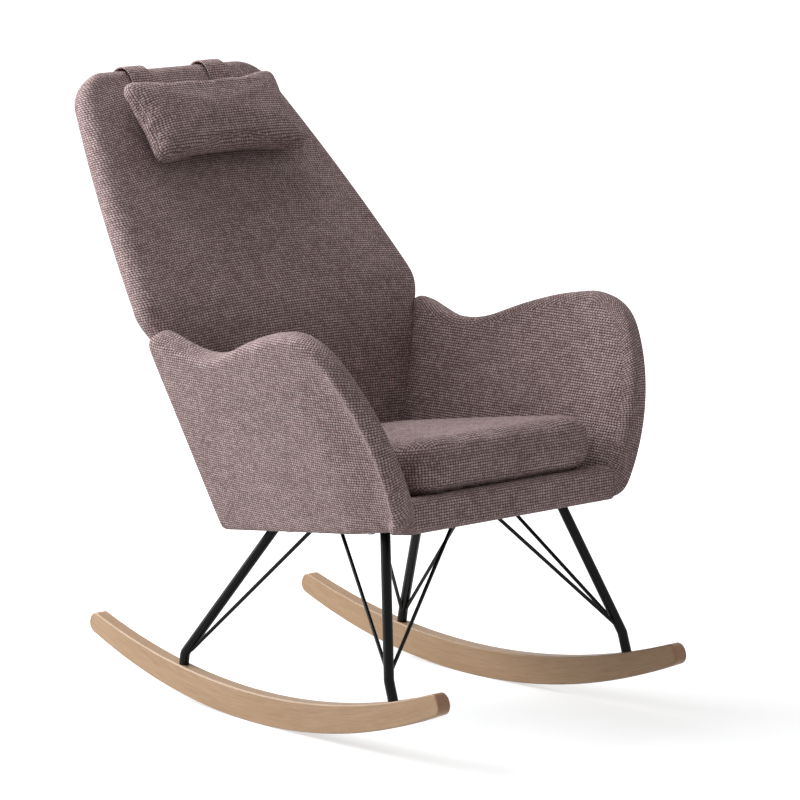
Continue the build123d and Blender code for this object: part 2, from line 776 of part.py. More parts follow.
with BuildPart() as strap_patches:
    for sign in sides.values():
        with BuildSketch(slope_view.offset(sign * strap_half_spacing)):
            with Locations((half_thickness + strap_thickness, -strap_length)):
                Rectangle(patch_thickness, patch_length, align=(Align.MIN, Align.MIN))
        extrude(amount=strap_width / 2, both=True)
finish_piece(strap_patches, "strap_patches")

pillow_rear = -(half_thickness + strap_thickness + strap_clearance)
pillow_middle = pillow_rear - pillow_thickness / 2
pillow_origin = slope_view.from_local_coords(Vector(pillow_middle, -pillow_below_top, 0))
pillow_view = Plane(pillow_origin, x_dir=back_rear, z_dir=(1, 0, 0))
pillow_half = pillow_width / 2
pillow_stations = [pillow_half * share for share in (0, 0.5, 0.72, 0.86, 0.95, 1)]
pillow_stations = sorted({-x for x in pillow_stations} | set(pillow_stations))
with BuildPart() as head_pillow:
    for x in pillow_stations:
        share = abs(x) / pillow_half
        swell = sqrt(1 - (pillow_end_share * share**pillow_end_power) ** 2)
        deep = pillow_thickness / 2 * swell
        tall = pillow_length / 2 * (1 - pillow_end_draw * share**pillow_end_power)
        tall = tall - pillow_side_draw * (1 - share**2)
        waist_tall = tall - pillow_edge_depth
        corner_deep = pillow_corner_share * deep
        with BuildSketch(pillow_view.offset(x)):
            with BuildLine():
                front_bow = ThreePointArc(
                    (-corner_deep, -waist_tall), (-deep, 0), (-corner_deep, waist_tall)
                )
                top_bow = ThreePointArc(front_bow @ 1, (0, tall), (corner_deep, waist_tall))
                rear_bow = ThreePointArc(top_bow @ 1, (deep, 0), (corner_deep, -waist_tall))
                ThreePointArc(rear_bow @ 1, (0, -tall), front_bow @ 0)
            make_face()
    loft(ruled=True)
finish_piece(head_pillow, "head_pillow")
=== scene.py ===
import bmesh
import bpy
import numpy as np
from mathutils import Matrix, Vector


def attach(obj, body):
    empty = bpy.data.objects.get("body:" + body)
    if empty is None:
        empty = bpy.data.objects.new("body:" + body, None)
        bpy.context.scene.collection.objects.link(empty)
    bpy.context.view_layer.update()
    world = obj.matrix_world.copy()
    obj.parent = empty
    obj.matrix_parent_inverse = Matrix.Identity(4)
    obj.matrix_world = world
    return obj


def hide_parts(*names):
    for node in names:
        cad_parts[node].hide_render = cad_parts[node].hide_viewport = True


# An upholstered rocking chair on beech rockers, in the shared frame: metres, +Z up, the front towards -Y.
# Sizes are written in millimetres, and turned into metres where a mesh or a pattern is made.
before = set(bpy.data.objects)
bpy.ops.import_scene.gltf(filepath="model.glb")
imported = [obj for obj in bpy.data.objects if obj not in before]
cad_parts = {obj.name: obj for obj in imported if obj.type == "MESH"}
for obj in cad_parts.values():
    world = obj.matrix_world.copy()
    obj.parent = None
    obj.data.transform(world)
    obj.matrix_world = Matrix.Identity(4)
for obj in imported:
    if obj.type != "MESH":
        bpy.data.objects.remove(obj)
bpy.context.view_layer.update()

# Rockers: two curved runners sawn from beech, with round ends and bevelled edges, clear lacquered.
# Each is bolted up into two legs from below; the grain follows the curve, and the cut ends show end grain,
# painted darker partly for the grain and partly as painted shade.
MM = 0.001
MIDDLE_Y = -50.0
ROCKER_RADIUS = 1190.0
ROCKER_BALANCE = 20.0
ROCKER_ARC = 461.0
CUT_END = (8.0, 2.0)
GROWTH_BAND = np.array([11.0, 200.0, 14.0])
FINE_GRAIN = np.array([1.2, 45.0, 1.5])
FLECK = np.array([0.8, 6.0, 0.9])
END_GRAIN = 2.2


def linear(code):
    """An sRGB hex colour as linear red, green, blue and alpha."""
    channels = np.array([int(code[i:i + 2], 16) for i in (0, 2, 4)]) / 255
    low = channels / 12.92
    high = ((channels + 0.055) / 1.055) ** 2.4
    return (*np.where(channels <= 0.04045, low, high), 1.0)


def fill_inputs(tree, node, inputs):
    """Give each input, by name or number, its constant or the link that feeds it."""
    for key, value in inputs.items():
        if isinstance(value, bpy.types.NodeSocket):
            tree.links.new(value, node.inputs[key])
        else:
            node.inputs[key].default_value = value


def add_node(tree, kind, inputs, out=0, **settings):
    """Add one node with its settings and links, and give one of its outputs."""
    node = tree.nodes.new("ShaderNode" + kind)
    for name, value in settings.items():
        setattr(node, name, value)
    fill_inputs(tree, node, inputs)
    return node.outputs[out]


def new_material(name):
    """An empty material, its node tree and its shader."""
    material = bpy.data.materials.new(name)
    material.use_nodes = True
    return material, material.node_tree, material.node_tree.nodes["Principled BSDF"]


def dress(names, material):
    """Give CAD nodes a material."""
    for name in names:
        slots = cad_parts[name].data.materials
        slots.clear()
        slots.append(material)


# Lacquered beech: warm tan with soft bands along the curve, thin darker flecks and a satin gloss; the cut
# ends are darker, partly end grain and partly painted shade.
beech, tree, shader = new_material("lacquered_beech")
spot = add_node(tree, "TexCoord", {}, "Object")
ring_centre = (0, (MIDDLE_Y + ROCKER_BALANCE) * MM, ROCKER_RADIUS * MM)
from_centre = add_node(tree, "VectorMath", {0: spot, 1: ring_centre}, operation="SUBTRACT")
x = add_node(tree, "SeparateXYZ", {0: from_centre}, "X")
y = add_node(tree, "SeparateXYZ", {0: from_centre}, "Y")
z = add_node(tree, "SeparateXYZ", {0: from_centre}, "Z")
turn = add_node(tree, "Math", {0: y, 1: add_node(tree, "Math", {0: z, 1: -1.0}, operation="MULTIPLY")},
                operation="ARCTAN2")
along = add_node(tree, "Math", {0: turn, 1: ROCKER_RADIUS * MM}, operation="MULTIPLY")
side_view = add_node(tree, "CombineXYZ", {1: y, 2: z})
depth = add_node(tree, "VectorMath", {0: side_view}, "Value", operation="LENGTH")
grain = add_node(tree, "CombineXYZ", {0: x, 1: along, 2: depth})
bands = add_node(tree, "VectorMath", {0: grain, 1: 1 / (GROWTH_BAND * MM)}, operation="MULTIPLY")
bands = add_node(tree, "TexNoise", {"Vector": bands, "Scale": 1.0, "Detail": 3.0})
fine = add_node(tree, "VectorMath", {0: grain, 1: 1 / (FINE_GRAIN * MM)}, operation="MULTIPLY")
fine = add_node(tree, "TexNoise", {"Vector": fine, "Scale": 1.0, "Detail": 2.0})
flecks = add_node(tree, "VectorMath", {0: grain, 1: 1 / (FLECK * MM)}, operation="MULTIPLY")
flecks = add_node(tree, "TexNoise", {"Vector": flecks, "Scale": 1.0, "Detail": 1.0})
flecks = add_node(tree, "MapRange", {"Value": flecks, "From Min": 0.62, "From Max": 0.76, "To Max": 0.35})
tone = add_node(tree, "Math", {0: bands, 1: 0.65, 2: fine}, operation="MULTIPLY_ADD")
tone = add_node(tree, "MapRange", {"Value": tone, "From Min": 0.55, "From Max": 1.15})
wood = add_node(tree, "Mix", {0: tone, 6: linear("b69474"), 7: linear("a07b59")}, 2, data_type="RGBA")
wood = add_node(tree, "Mix", {0: flecks, 6: wood, 7: linear("8f6b4e")}, 2, data_type="RGBA")
# The cut ends take a darker colour with pores: partly end grain, partly painted shade on the ends.
from_middle = add_node(tree, "Math", {0: along, 1: ROCKER_BALANCE * MM}, operation="ADD")
from_middle = add_node(tree, "Math", {0: from_middle}, operation="ABSOLUTE")
cut_from, cut_to = ((ROCKER_ARC - reach) * MM for reach in CUT_END)
cut = add_node(tree, "MapRange", {"Value": from_middle, "From Min": cut_from, "From Max": cut_to})
pores = add_node(tree, "TexNoise", {"Vector": spot, "Scale": 1 / (END_GRAIN * MM), "Detail": 3.0})
end_grain_and_shade = add_node(tree, "Mix", {0: pores, 6: linear("8c634a"), 7: linear("ad8160")}, 2, data_type="RGBA")
wood = add_node(tree, "Mix", {0: cut, 6: wood, 7: end_grain_and_shade}, 2, data_type="RGBA")
relief = add_node(tree, "Bump", {"Height": fine, "Strength": 0.12, "Distance": 0.4 * MM})
fill_inputs(tree, shader, {"Base Color": wood, "Normal": relief, "Roughness": 0.42})
dress(["rocker_left", "rocker_right"], beech)

# Legs, brace rods, seat frame and back brackets: bent steel tube, thin rod and flat bar.
# The rods are welded to the tubes at their bends and to the frame above, and all is powder coated black.
COAT_GRAIN = 0.7
COAT_CLOUD = 36.0

# Powder coat: near black with a fine orange-peel skin, dull but for thin lines of light along the tubes.
coat, tree, shader = new_material("black_powder_coat")
spot = add_node(tree, "TexCoord", {}, "Object")
skin = add_node(tree, "TexNoise", {"Vector": spot, "Scale": 1 / (COAT_GRAIN * MM), "Detail": 2.0})
cloud = add_node(tree, "TexNoise", {"Vector": spot, "Scale": 1 / (COAT_CLOUD * MM), "Detail": 3.0})
gloss = add_node(tree, "MapRange", {"Value": cloud, "To Min": 0.28, "To Max": 0.42})
shade = add_node(tree, "Mix", {0: cloud, 6: linear("060606"), 7: linear("0b0b0c")}, 2, data_type="RGBA")
relief = add_node(tree, "Bump", {"Height": skin, "Strength": 0.08, "Distance": 0.3 * MM})
fill_inputs(tree, shader, {"Base Color": shade, "Roughness": gloss, "Normal": relief,
                           "Specular IOR Level": 0.14})
steel_starts = ("leg_front", "leg_rear", "brace_", "frame_", "back_bracket")
dress([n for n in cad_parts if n.startswith(steel_starts) and n != "frame_bolts"], coat)

# Bolts, tee nuts, bracket screws and threaded plugs: small steel fixings, mostly hidden.
# The bolts go up through the rockers and the frame; the tee nuts and plugs take their threads.
ZINC_SPANGLE = 3.0

# Zinc plate: a bright grey metal with faint cloudy spangle.
zinc, tree, shader = new_material("zinc_plate")
spot = add_node(tree, "TexCoord", {}, "Object")
spangle = add_node(tree, "TexNoise", {"Vector": spot, "Scale": 1 / (ZINC_SPANGLE * MM), "Detail": 3.0})
shade = add_node(tree, "Mix", {0: spangle, 6: linear("8f9194"), 7: linear("b9bbbd")}, 2, data_type="RGBA")
gloss = add_node(tree, "MapRange", {"Value": spangle, "To Min": 0.28, "To Max": 0.48})
fill_inputs(tree, shader, {"Base Color": shade, "Roughness": gloss, "Metallic": 1.0})
dress(["frame_bolts", "rocker_bolts", "tee_nuts", "bracket_screws", "leg_plugs"], zinc)

# Deck, front rail and the arms' and back's panels: sawn birch plywood and one wood rail.
# They are raw inside the padding; the deck is bolted to the frame, and the rest is fixed to the deck.
VENEER = np.array([4.2, 70.0, 4.2])

# Birch plywood: pale straw with long soft grain and no gloss.
plywood, tree, shader = new_material("birch_plywood")
spot = add_node(tree, "TexCoord", {}, "Object")
veneer = add_node(tree, "VectorMath", {0: spot, 1: 1 / (VENEER * MM)}, operation="MULTIPLY")
veneer = add_node(tree, "TexNoise", {"Vector": veneer, "Scale": 1.0, "Detail": 4.0})
shade = add_node(tree, "Mix", {0: veneer, 6: linear("c8a983"), 7: linear("a98a63")}, 2, data_type="RGBA")
relief = add_node(tree, "Bump", {"Height": veneer, "Strength": 0.15, "Distance": 0.5 * MM})
fill_inputs(tree, shader, {"Base Color": shade, "Normal": relief, "Roughness": 0.7})
dress(["seat_deck", "front_rail", "back_panel", "arm_panel_left", "arm_panel_right"], plywood)

# Dust cover: one thin sheet of black nonwoven, cut to the deck's outline less a margin.
# It is stretched flat and stapled under the deck, between the deck and the steel frame.
SEAT_TILT = np.radians(8.0)
SEAT_UNDERSIDE = 297.0
COVER_FRONT = (-304.0, 201.3)
COVER_REAR = (160.0, 154.3)
COVER_UNDERSIDE = 7.0
COVER_THICKNESS = 1.0
FIBRE = np.array([1.4, 1.1, 1.4])


def soften(points, reach):
    """Round a closed, evenly spaced outline: a Gaussian blur of the given reach along it."""
    step = np.linalg.norm(np.roll(points, -1, 0) - points, axis=1).mean()
    waves = np.fft.fftfreq(len(points), step)
    damp = np.exp(-2 * (np.pi * waves * reach) ** 2)[:, None]
    return np.fft.ifft(np.fft.fft(points, axis=0) * damp, axis=0).real


def resample(points, count):
    """A closed outline as evenly spaced points, placed by their distance along it."""
    closed = np.vstack([points, points[:1]])
    run = np.r_[0, np.cumsum(np.linalg.norm(np.diff(closed, axis=0), axis=1))]
    places = np.linspace(0, run[-1], count, endpoint=False)
    return np.stack([np.interp(places, run, closed[:, k]) for k in range(points.shape[1])], 1)


def ring_piece(name, rows, bands, material):
    """A closed piece from rows of points, each row a ring, with a fan over the first row and the last.
    bands holds the flat cloth places of each strip between two rows, in metres."""
    row_count, count = rows.shape[:2]
    index = np.arange(row_count * count).reshape(row_count, count)
    index = np.c_[index, index[:, :1]]
    quads = np.stack([index[:-1, :-1], index[1:, :-1], index[1:, 1:], index[:-1, 1:]], -1).reshape(-1, 4)
    quad_flat = np.stack([bands[:, 0, :-1], bands[:, 1, :-1], bands[:, 1, 1:], bands[:, 0, 1:]], 2)
    pole = np.full(count, row_count * count)
    first = np.stack([pole, index[0, :-1], index[0, 1:]], -1)
    last = np.stack([pole + 1, index[-1, 1:], index[-1, :-1]], -1)
    first_ring, last_ring = bands[0, 0], bands[-1, 1]
    first_pole = np.repeat(first_ring.mean(0)[None], count, 0)
    last_pole = np.repeat(last_ring.mean(0)[None], count, 0)
    first_flat = np.stack([first_pole, first_ring[:-1], first_ring[1:]], 1)
    last_flat = np.stack([last_pole, last_ring[1:], last_ring[:-1]], 1)
    points = np.vstack([rows.reshape(-1, 3), rows[0].mean(0), rows[-1].mean(0)])
    mesh = bpy.data.meshes.new(name)
    mesh.from_pydata(points.tolist(), [], quads.tolist() + first.tolist() + last.tolist())
    flat = np.concatenate([quad_flat.reshape(-1), first_flat.reshape(-1), last_flat.reshape(-1)])
    mesh.uv_layers.new(name="cloth").data.foreach_set("uv", flat)
    shell = bmesh.new()
    shell.from_mesh(mesh)
    bmesh.ops.recalc_face_normals(shell, faces=shell.faces)
    shell.to_mesh(mesh)
    shell.free()
    mesh.shade_smooth()
    mesh.materials.append(material)
    piece = bpy.data.objects.new(name, mesh)
    bpy.context.scene.collection.objects.link(piece)
    return piece


def padded_slab(outline, half, border, crowns, square, face_rows=14, border_rows=14):
    """Rows and cloth bands of a padded slab in its own plane: two faces with a crown that falls off as
    (1 - share squared) to the power 1.5, joined round the outline by half a superellipse that starts from
    a softened outline, moved in by the border."""
    core = soften(outline, 0.8 * border)
    step = np.roll(core, -1, 0) - np.roll(core, 1, 0)
    outward = np.stack([step[:, 1], -step[:, 0]], 1)
    outward /= np.linalg.norm(outward, axis=1, keepdims=True)
    inset = core - outward * border
    centre = inset.mean(0)
    shares = np.linspace(0, 1, face_rows + 1)[1:, None]
    turns = np.linspace(np.pi / 2, -np.pi / 2, border_rows + 1)[1:-1, None]
    drawn = 1 - np.cos(turns) ** (2 / square)
    heights = half * np.sign(turns) * np.abs(np.sin(turns)) ** (2 / square)
    face = centre + (inset - centre) * shares[..., None]
    swell = (1 - shares**2) ** 1.5
    top = np.broadcast_to(half + crowns[0] * swell, face.shape[:2])[..., None]
    under = np.broadcast_to(-half - crowns[1] * swell, face.shape[:2])[..., None]
    rolled = outline + (inset - outline) * drawn[..., None]
    rolled = np.concatenate([rolled, np.broadcast_to(heights, rolled.shape[:2])[..., None]], 2)
    rows = np.concatenate([np.concatenate([face, top], 2), rolled, np.concatenate([face, under], 2)[::-1]])
    wrapped = np.concatenate([rows, rows[:, :1]], 1)
    bands = np.stack([wrapped[:-1, :, :2], wrapped[1:, :, :2]], 1)
    edge = np.vstack([inset, inset[:1]])
    way = np.vstack([outward, outward[:1]])
    down = np.r_[0, np.cumsum(np.linalg.norm(np.diff(rows, axis=0), axis=2).mean(1))]
    down = (down - down[face_rows - 1])[face_rows - 1:face_rows + border_rows, None, None]
    laid = edge + way * down
    bands[face_rows - 1:face_rows - 1 + border_rows] = np.stack([laid[:-1], laid[1:]], 1)
    return rows, bands * MM


def seat_place(local):
    """Points across, along and above the tilted seat plane, as metres in the shared frame."""
    across, along, above = np.moveaxis(local, -1, 0)
    y = MIDDLE_Y + along * np.cos(SEAT_TILT) + above * np.sin(SEAT_TILT)
    z = SEAT_UNDERSIDE - along * np.sin(SEAT_TILT) + above * np.cos(SEAT_TILT)
    return np.stack([across, y, z], -1) * MM


# Nonwoven: dull black felted fibres, a little uneven.
nonwoven, tree, shader = new_material("nonwoven")
spot = add_node(tree, "TexCoord", {}, "Object")
fibres = add_node(tree, "VectorMath", {0: spot, 1: 1 / (FIBRE * MM)}, operation="MULTIPLY")
fibres = add_node(tree, "TexNoise", {"Vector": fibres, "Scale": 1.0, "Detail": 4.0})
shade = add_node(tree, "Mix", {0: fibres, 6: linear("101011"), 7: linear("232325")}, 2, data_type="RGBA")
relief = add_node(tree, "Bump", {"Height": fibres, "Strength": 0.3, "Distance": 0.4 * MM})
fill_inputs(tree, shader, {"Base Color": shade, "Normal": relief, "Roughness": 0.9})
cover_corners = np.array([
    (-COVER_FRONT[1], COVER_FRONT[0]), (COVER_FRONT[1], COVER_FRONT[0]),
    (COVER_REAR[1], COVER_REAR[0]), (-COVER_REAR[1], COVER_REAR[0]),
])
rows, bands = padded_slab(resample(cover_corners, 160), COVER_THICKNESS / 2, 0.8, (0, 0), 2.0, 6, 4)
cover_middle = [0, 0, COVER_UNDERSIDE + COVER_THICKNESS / 2]
dust_cover = ring_piece("dust_cover_sheet", seat_place(rows + cover_middle), bands, nonwoven)
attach(dust_cover, "chair")
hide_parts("dust_cover")

# Arms: plywood panels wrapped in foam and a chunky woven chenille, one flared slab a side.
# They are fixed to the deck's edge, with a squared border all round that is broadest at the front foot.
# Outside, the cover is drawn in beside that border; inside, it rolls off softly to the front edge.
SIDES = {"right": -1, "left": 1}
ROW_PITCH = 4.3
LUMP_LENGTH = 5.2
WANDER_SIZE = 11.0
WANDER = np.array([2.6, 2.0, 0.0])
PILE = 1.0
TONE_PATCH = 26.0
CLOUD = 120.0
YARN_RELIEF = 1.8
ARM_FOOT = np.array([210.0, MIDDLE_Y - 335.0, 345.0])
ARM_FLARE = 0.373
ARM_DRAW_IN = 0.05
ARM_HALF = 23.0
ARM_BORDER = 20.0
ARM_CROWN = 3.0
ARM_SQUARE = 3.6
ARM_SOFT = 8.0
ARM_POINTS = 480
ARM_ROWS = 30
ARM_REAR_CORNER = (502.0, -68.0)
ARM_FRONT_CORNER = (28.0, 1.0)
ARM_TOP = [(0, 28), (57, 279), (160, 320), (334, 266), (461, 258), (514, 275), (538, 258)]
BORDER_REACH = (220.0, 280.0)
BORDER_SWELL = (0.22, -0.12)
FRONT_EDGE_FROM = 4.0
GROOVE_DEPTH = 15.0
GROOVE_PLACE = 30.0
GROOVE_STEEP = 15.0
GROOVE_LONG = 60.0
INNER_ROLL = 8.0
INNER_ROLL_REACH = 34.0

# Woven chenille: rows of short fat lumps, set off from row to row, each lump a little paler or darker, with
# painted shade in the gaps between the rows and a soft fuzzy pile. The yarn is a greyed mauve brown.
fabric, tree, shader = new_material("woven_chenille")
spot = add_node(tree, "TexCoord", {}, "Object")
flat = add_node(tree, "UVMap", {}, uv_map="cloth")
wander = add_node(tree, "TexNoise", {"Vector": flat, "Scale": 1 / (WANDER_SIZE * MM)}, "Color")
wander = add_node(tree, "VectorMath", {0: wander, 1: WANDER * MM}, operation="MULTIPLY")
yarns = add_node(tree, "VectorMath", {0: flat, 1: wander}, operation="ADD")
yarn_count = (1 / (LUMP_LENGTH * MM), 1 / (ROW_PITCH * MM), 1.0)
yarns = add_node(tree, "VectorMath", {0: yarns, 1: yarn_count}, operation="MULTIPLY")
along = add_node(tree, "SeparateXYZ", {0: yarns}, "X")
across = add_node(tree, "SeparateXYZ", {0: yarns}, "Y")
row = add_node(tree, "Math", {0: across}, operation="FLOOR")
chance = add_node(tree, "TexWhiteNoise", {"W": row}, "Value", noise_dimensions="1D")
along = add_node(tree, "Math", {0: chance, 1: 0.6, 2: along}, operation="MULTIPLY_ADD")
lump = add_node(tree, "CombineXYZ", {0: add_node(tree, "Math", {0: along}, operation="FLOOR"), 1: row})
lump_tone = add_node(tree, "TexWhiteNoise", {"Vector": lump}, "Value", noise_dimensions="2D")
row_arch = add_node(tree, "Math", {0: add_node(tree, "Math", {0: across, 1: np.pi}, operation="MULTIPLY")},
                    operation="SINE")
row_arch = add_node(tree, "Math", {0: row_arch}, operation="ABSOLUTE")
lump_arch = add_node(tree, "Math", {0: add_node(tree, "Math", {0: along, 1: np.pi}, operation="MULTIPLY")},
                     operation="SINE")
lump_arch = add_node(tree, "Math", {0: lump_arch}, operation="ABSOLUTE")
row_share = add_node(tree, "Math", {0: row_arch, 1: 0.55}, operation="MULTIPLY")
weave = add_node(tree, "Math", {0: lump_arch, 1: 0.45, 2: row_share}, operation="MULTIPLY_ADD")
pile = add_node(tree, "TexNoise", {"Vector": spot, "Scale": 1 / (PILE * MM), "Detail": 2.0})
patch = add_node(tree, "TexNoise", {"Vector": flat, "Scale": 1 / (TONE_PATCH * MM), "Detail": 3.0})
cloud = add_node(tree, "TexNoise", {"Vector": spot, "Scale": 1 / (CLOUD * MM), "Detail": 3.0})
tone = add_node(tree, "Math", {0: lump_tone, 1: 0.8, 2: patch}, operation="MULTIPLY_ADD")
tone = add_node(tree, "Math", {0: cloud, 1: 0.9, 2: tone}, operation="MULTIPLY_ADD")
tone = add_node(tree, "MapRange", {"Value": tone, "From Min": 0.75, "From Max": 1.95})
yarn = add_node(tree, "Mix", {0: tone, 6: linear("957978"), 7: linear("d0b4b3")}, 2, data_type="RGBA")
# The gaps between lumps and rows take a near black: painted shade in the hollows of the weave.
lift = add_node(tree, "Math", {0: pile, 1: 0.45, 2: weave}, operation="MULTIPLY_ADD")
lift = add_node(tree, "MapRange", {"Value": lift, "From Min": 0.54, "From Max": 1.06})
shade = add_node(tree, "Mix", {0: lift, 6: linear("302323"), 7: yarn}, 2, data_type="RGBA")
height = add_node(tree, "Math", {0: pile, 1: 0.25, 2: weave}, operation="MULTIPLY_ADD")
relief = add_node(tree, "Bump", {"Height": height, "Strength": 0.8, "Distance": YARN_RELIEF * MM})
fill_inputs(tree, shader, {"Base Color": shade, "Normal": relief, "Roughness": 0.95, "Sheen Weight": 0.08,
                           "Sheen Roughness": 0.5, "Sheen Tint": linear("c8b0b0")})


def tangent_arc(start, heading, end, count=24):
    """Points of the arc that leaves start along heading and ends at end, and the heading there."""
    chord = end - start
    side = np.array([-heading[1], heading[0]])
    radius = chord @ chord / (2 * (chord @ side))
    centre = start + side * radius
    first = start - centre
    swept = 2 * np.arctan2(chord @ side, chord @ heading)
    angles = np.linspace(0, swept, count)[1:, None]
    across = np.array([-first[1], first[0]])
    points = centre + first * np.cos(angles) + across * np.sin(angles)
    return points, np.cos(swept) * heading + np.sin(swept) * side


def upholster(piece, body, node):
    """Attach a padded piece to the body it rides on, and hide the plain solid it stands for."""
    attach(piece, body)
    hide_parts(node)


def drawn_in(points, edge):
    """How far the cover is drawn in along the front edge, outside and inside. Outside it dips beside the
    border, in a bell curve of the distance from the edge, steep towards it and long away from it, which
    fades out up to the arm's top. Inside it only rolls off towards the edge."""
    gaps = np.linalg.norm(points[..., None, :] - edge, axis=-1)
    near = gaps.min(-1)
    fade = 1 - (edge[gaps.argmin(-1), 1] / edge[:, 1].max()) ** 2
    reach = np.where(near < GROOVE_PLACE, GROOVE_STEEP, GROOVE_LONG)
    outside = GROOVE_DEPTH * fade * np.exp(-((near - GROOVE_PLACE) / reach) ** 2)
    inside = INNER_ROLL * np.exp(-((near / INNER_ROLL_REACH) ** 2))
    return outside, inside


foot_line = np.array([ARM_REAR_CORNER, ARM_FRONT_CORNER])
heading = (foot_line[1] - foot_line[0]) / np.linalg.norm(foot_line[1] - foot_line[0])
arm_outline = [foot_line]
for point in np.array(ARM_TOP, float):
    arc, heading = tangent_arc(arm_outline[-1][-1], heading, point)
    arm_outline.append(arc)
arm_outline = resample(np.concatenate(arm_outline)[::-1], ARM_POINTS)
arm_outline = resample(soften(arm_outline, ARM_SOFT), ARM_POINTS)
rows, bands = padded_slab(
    arm_outline, ARM_HALF, ARM_BORDER, (ARM_CROWN, ARM_CROWN), ARM_SQUARE, ARM_ROWS, ARM_ROWS)
to_front = np.clip(1 - rows[..., 0] / BORDER_REACH[0], 0, 1)
to_top = np.clip(rows[..., 1] / BORDER_REACH[1], 0, 1)
rows[..., 2] *= 1 + to_front * (BORDER_SWELL[0] + (BORDER_SWELL[1] - BORDER_SWELL[0]) * to_top)
before_top = arm_outline[:, 0] < ARM_TOP[2][0]
front_edge = arm_outline[before_top & (arm_outline[:, 1] > FRONT_EDGE_FROM)]
outside, inside = drawn_in(rows[..., :2], front_edge[::2])
outer = rows[..., 2] / ARM_HALF
rows[..., 2] -= np.where(outer > 0, outside * np.minimum(outer, 1), inside * np.maximum(outer, -1))
arm_normal = np.array([1, ARM_DRAW_IN, -ARM_FLARE])
arm_normal /= np.linalg.norm(arm_normal)
arm_rear = np.array([-ARM_DRAW_IN, 1, 0]) / np.hypot(ARM_DRAW_IN, 1)
arm_points = ARM_FOOT + rows @ np.array([arm_rear, np.cross(arm_normal, arm_rear), arm_normal])
for side, sign in SIDES.items():
    arm = ring_piece(f"arm_cover_{side}", arm_points * [sign, 1, 1] * MM, bands, fabric)
    upholster(arm, "chair", f"arm_pad_{side}")

# Front rail of the tub: a wood rail in foam, wrapped in the same cloth, under the cushion's front edge.
# It stands on the deck's front and runs into the arms at both ends.
RAIL_FRONT = -340.0
RAIL_REAR = -282.0
RAIL_TOP = 54.0
RAIL_HALF = 207.0
RAIL_ROUND = 15.0
RAIL_HIDDEN_ROUND = 4.0


def rounded_polygon(corners, radii, per_corner=16):
    """A closed outline of straight runs between round corners, each corner an arc of its own radius."""
    corners = np.array(corners, float)
    before = np.roll(corners, 1, 0) - corners
    after = np.roll(corners, -1, 0) - corners
    before /= np.linalg.norm(before, axis=1, keepdims=True)
    after /= np.linalg.norm(after, axis=1, keepdims=True)
    half_angle = np.arccos((before * after).sum(1)) / 2
    bisector = before + after
    bisector /= np.linalg.norm(bisector, axis=1, keepdims=True)
    radii = np.broadcast_to(np.array(radii, float), half_angle.shape)
    centres = corners + bisector * (radii / np.sin(half_angle))[:, None]
    starts = corners + before * (radii / np.tan(half_angle))[:, None] - centres
    ends = corners + after * (radii / np.tan(half_angle))[:, None] - centres
    shares = np.linspace(0, 1, per_corner)[None, :, None]
    sweep = (np.pi - 2 * half_angle)[:, None, None]
    arcs = np.sin((1 - shares) * sweep) * starts[:, None] + np.sin(shares * sweep) * ends[:, None]
    return (centres[:, None] + arcs / np.sin(sweep)).reshape(-1, 2)


def swept_bands(rows):
    """Flat cloth places of a piece made of equal rings: round each ring, and along from ring to ring."""
    wrapped = np.concatenate([rows, rows[:, :1]], 1)
    around = np.linalg.norm(np.diff(wrapped, axis=1), axis=2)
    around = np.concatenate([np.zeros((len(rows), 1)), np.cumsum(around, 1)], 1)
    steps = np.linalg.norm(np.diff(wrapped, axis=0), axis=2)
    along = np.concatenate([np.zeros((1, wrapped.shape[1])), np.cumsum(steps, 0)])
    cloth = np.stack([around - around[:, around.shape[1] // 2, None], along], 2)
    return np.stack([cloth[:-1], cloth[1:]], 1)


rail_corners = [(RAIL_REAR, 0), (RAIL_FRONT, 0), (RAIL_FRONT, RAIL_TOP), (RAIL_REAR, RAIL_TOP)]
rail_rounds = [RAIL_HIDDEN_ROUND, RAIL_ROUND, RAIL_ROUND, RAIL_HIDDEN_ROUND]
rail_section = resample(rounded_polygon(rail_corners, rail_rounds), 120)
rail_x = np.linspace(-RAIL_HALF, RAIL_HALF, 60)
rows = np.dstack([np.broadcast_to(rail_x[:, None], (60, 120)), np.broadcast_to(rail_section, (60, 120, 2))])
rows = seat_place(rows)
bands = swept_bands(rows)[..., ::-1]
upholster(ring_piece("front_rail_cover", rows, bands, fabric), "chair", "front_pad")

# Seat pad: a flat layer of foam in the same cloth, laid on the deck between the arms and the back.
# The loose cushion hides all of it but a thin line at its edge.
PAD_FRONT = (-281.0, 188.0)
PAD_REAR = (128.0, 149.0)
PAD_LOW = 20.2
PAD_TOP = 53.6
PAD_ROUND = 10.0
pad_corners = [
    (-PAD_FRONT[1], PAD_FRONT[0]), (PAD_FRONT[1], PAD_FRONT[0]),
    (PAD_REAR[1], PAD_REAR[0]), (-PAD_REAR[1], PAD_REAR[0]),
]
pad_outline = resample(rounded_polygon(pad_corners, PAD_ROUND), 200)
rows, bands = padded_slab(pad_outline, (PAD_TOP - PAD_LOW) / 2, 8.0, (0, 0), 3.0, 8, 8)
rows = seat_place(rows + [0, 0, (PAD_TOP + PAD_LOW) / 2])
upholster(ring_piece("seat_base_cover", rows, bands, fabric), "chair", "seat_pad")

